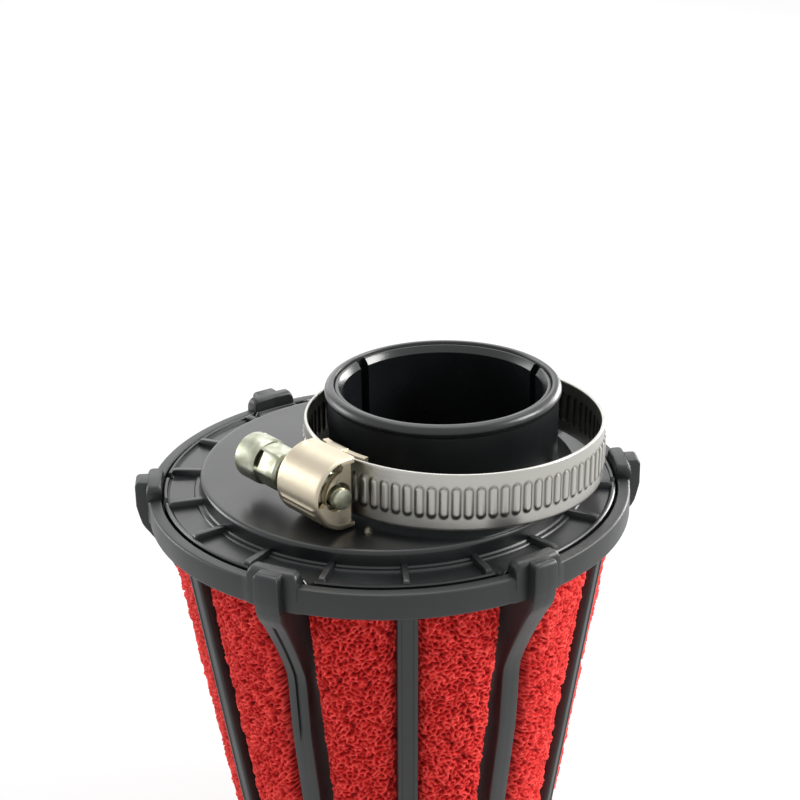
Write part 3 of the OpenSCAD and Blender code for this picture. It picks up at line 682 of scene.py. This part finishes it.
def end_wall(near, far, hole, crescent):
    """Wall folded in across the vault: its rim follows the vault, or stops short by the crescent."""
    rim_line, hole_line = [], []
    for degrees in np.arange(0, 360, 2.5):
        a = math.radians(degrees)
        swing = (degrees + 180) % 360 - 180
        reach = VAULT_R + 0.1
        if crescent and CRESCENT[0] - 3 < swing < CRESCENT[1] + 3:
            close = min(swing - CRESCENT[0] + 3, CRESCENT[1] + 3 - swing) / 5
            reach -= (CRESCENT_W + CRESCENT_SKIN - SHEET + 0.1) * min(1.0, close) ** 0.5
        x, y = reach * math.cos(a) - VAULT_DROP, reach * math.sin(a)
        if x < -VAULT_DROP:
            y *= min((VAULT_R + 0.1) / abs(y), (WALL_END + VAULT_DROP) / (x + VAULT_DROP)) if y else 1
            x = WALL_END
        rim_line.append((x, y))
        hole_line.append((hole * math.cos(a), hole * math.sin(a)))
    rows = [(rim_line, near), (rim_line, far - 0.15), ([(x * 0.985, y * 0.985) for x, y in rim_line], far),
            ([(x * 1.06, y * 1.06) for x, y in hole_line], far), (hole_line, far - 0.15), (hole_line, near)]
    return loft([[(x, y, s) for x, y in line] for line, s in rows])


front_points, front_faces = end_wall(WALL_NEAR, WALL_FAR, HOLE_R, True)
rear_points, rear_faces = end_wall(-WALL_NEAR, -WALL_FAR, REAR_HOLE_R, False)
parts = [(by_screw(vault_points), vault_faces), (by_screw(front_points), front_faces),
         (by_screw(rear_points), rear_faces)]
for up_or_down in (1, -1):
    tab = []
    for x, floor in TAB_RUN:
        outline = rounded([(-TAB_W / 2, floor, 0.1), (TAB_W / 2, floor, 0.1),
                           (TAB_W / 2, floor + TAB_T, 0.15), (-TAB_W / 2, floor + TAB_T, 0.15)], 3)
        tab.append([(x, up_or_down * y, s - TAB_SHIFT) for s, y in outline])
    points, faces = loft(tab, "capped")
    parts.append((by_screw(points), faces))
case = piece("worm_housing", parts, zinc, "clamp", crease=40.0)
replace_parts(case, "clamp_housing")


# Saddle: the curved plate under the band that the housing's tabs are folded over; the same
# plated sheet, so the frame's solid stays and takes the zinc.
coat("clamp_saddle", zinc)


# Screw: turned steel with a round slotted collar, a hexagon of 8 mm across the flats, a
# short waist, the rolled worm and a plain tip. Zinc plated bright, a little greenish.
screw_zinc, tree, shader = finish("bright_zinc_steel", {"Metallic": 1.0})
place = node(tree, "TexCoord").outputs["Object"]
cloud = node(tree, "TexNoise", {"Scale": 1 / (3 * MM), "Detail": 4.0}, {"Vector": place})
patch = node(tree, "MapRange", {"From Min": 0.35, "From Max": 0.65}, {"Value": cloud.outputs["Fac"]})
tint = node(tree, "Mix", {"data_type": "RGBA", 6: linear("b9bbac"), 7: linear("8f917b")},
            {"Factor": patch.outputs[0]})
gloss = node(tree, "MapRange", {"To Min": 0.27, "To Max": 0.42}, {"Value": patch.outputs[0]})
dents = node(tree, "Bump", {"Strength": 0.3, "Distance": 0.05 * MM}, {"Height": cloud.outputs["Fac"]})
# A darker colour, painted shade, goes into the pocket beside the collar.
depth = node(tree, "Attribute", {"attribute_name": "painted_shade"}).outputs["Fac"]
pocket_shaded = node(tree, "Mix", {"data_type": "RGBA", 7: linear("5c5a4a")}, {"Factor": depth, 6: tint.outputs[2]})
feed(tree, shader, pocket_shaded.outputs[2], gloss, dents)
HEX_R, HEX_L, COLLAR, COLLAR_L, WAIST_L, WAIST_R = 4.62, 6.0, 4.9, 6.5, 2.6, 2.6
WORM_R, ROOT_R, WORM_L, TIP_R, TIP_END = 4.1, 3.5, 9.6, 2.2, 8.1
HEX_Z = -HOUSING_L / 2 - WAIST_L - HEX_L
FAR_Z = HEX_Z - COLLAR_L
SLOT, SLOT_DEEP, SLOT_LIE = 1.2, 2.0, 117.0
POCKET, POCKET_AT, POCKET_HALF = 0.65, 32, 23   # depth, then middle and half width in degrees
TURN_N = 96
swing = np.arange(TURN_N) * 2 * np.pi / TURN_N
flat = np.cos(np.pi / 6) / np.cos((swing % (np.pi / 3)) - np.pi / 6)   # hexagon over its corner circle


def ring_at(radius, along):
    """Loop round the screw; the radius may change on the way."""
    return np.stack([radius * np.cos(swing), radius * np.sin(swing), np.zeros(TURN_N) + along], axis=-1)


hexagon = np.minimum(HEX_R * flat, HEX_R * 0.975)
# A short pocket in the one flat, beside the collar
pocket = POCKET * (abs(np.degrees(swing) - POCKET_AT) < POCKET_HALF)
shaft = [ring_at(0.05, FAR_Z + SLOT_DEEP), ring_at(COLLAR, FAR_Z + SLOT_DEEP), ring_at(COLLAR, HEX_Z - 1.2),
         ring_at(COLLAR - 0.15, HEX_Z - 0.6), ring_at(COLLAR - 0.35, HEX_Z - 0.15),
         ring_at((hexagon + 4.5) / 2 - pocket, HEX_Z - 0.1), ring_at(hexagon - pocket, HEX_Z + 0.9),
         ring_at(hexagon, HEX_Z + 1.0), ring_at(hexagon, HEX_Z + HEX_L - 1.3),
         ring_at(np.minimum(hexagon, 4.2), HEX_Z + HEX_L - 0.5), ring_at(3.6, HEX_Z + HEX_L),
         ring_at(WAIST_R + 0.3, HEX_Z + HEX_L + 0.05), ring_at(WAIST_R, HEX_Z + HEX_L + 0.5)]
painted_shade = np.zeros((len(shaft), TURN_N))
# Painted shade in the pocket beside the collar.
painted_shade[5:7] = pocket / POCKET
shaft.append(ring_at(WAIST_R, -WORM_L / 2 - 0.4))
for along in np.arange(-WORM_L / 2, WORM_L / 2 + 0.01, 0.2):
    phase = (along / PITCH - swing / (2 * np.pi)) % 1.0
    tooth = np.clip(1.6 - abs(phase - 0.5) * 4.4, 0, 1)
    run_out = min(1.0, (WORM_L / 2 - abs(along)) / 0.5 + 0.1)
    shaft.append(ring_at(ROOT_R + (WORM_R - ROOT_R) * tooth * run_out, along))
shaft += [ring_at(TIP_R, WORM_L / 2 + 0.3), ring_at(TIP_R, TIP_END - 0.5),
          ring_at(TIP_R - 0.15, TIP_END - 0.15), ring_at(TIP_R - 0.5, TIP_END), ring_at(0.05, TIP_END)]
points, faces = loft(shaft, "capped")
parts = [(by_screw(points), faces)]
for side_of in (1, -1):
    open_a = math.asin(SLOT / 2 / COLLAR)
    boss = []
    for along, shrink in ((FAR_Z + SLOT_DEEP + 0.01, 0.0), (FAR_Z + 0.8, 0.0), (FAR_Z + 0.35, 0.15),
                          (FAR_Z + 0.1, 0.4), (FAR_Z, 0.8)):
        arc = [((COLLAR - shrink) * math.cos(a), side_of * (COLLAR - shrink) * math.sin(a))
               for a in np.linspace(open_a, np.pi - open_a, 40)]
        arc = [(x, side_of * max(side_of * y, SLOT / 2)) for x, y in arc]
        lie = math.radians(SLOT_LIE)
        boss.append([(x * math.cos(lie) - y * math.sin(lie), x * math.sin(lie) + y * math.cos(lie), along)
                     for x, y in arc])
    points, faces = loft(boss, "capped")
    parts.append((by_screw(points), faces))
screw = piece("worm_screw", parts, screw_zinc, "screw", crease=24.0)
paint(screw, "painted_shade", painted_shade.ravel())
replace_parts(screw, "clamp_screw")
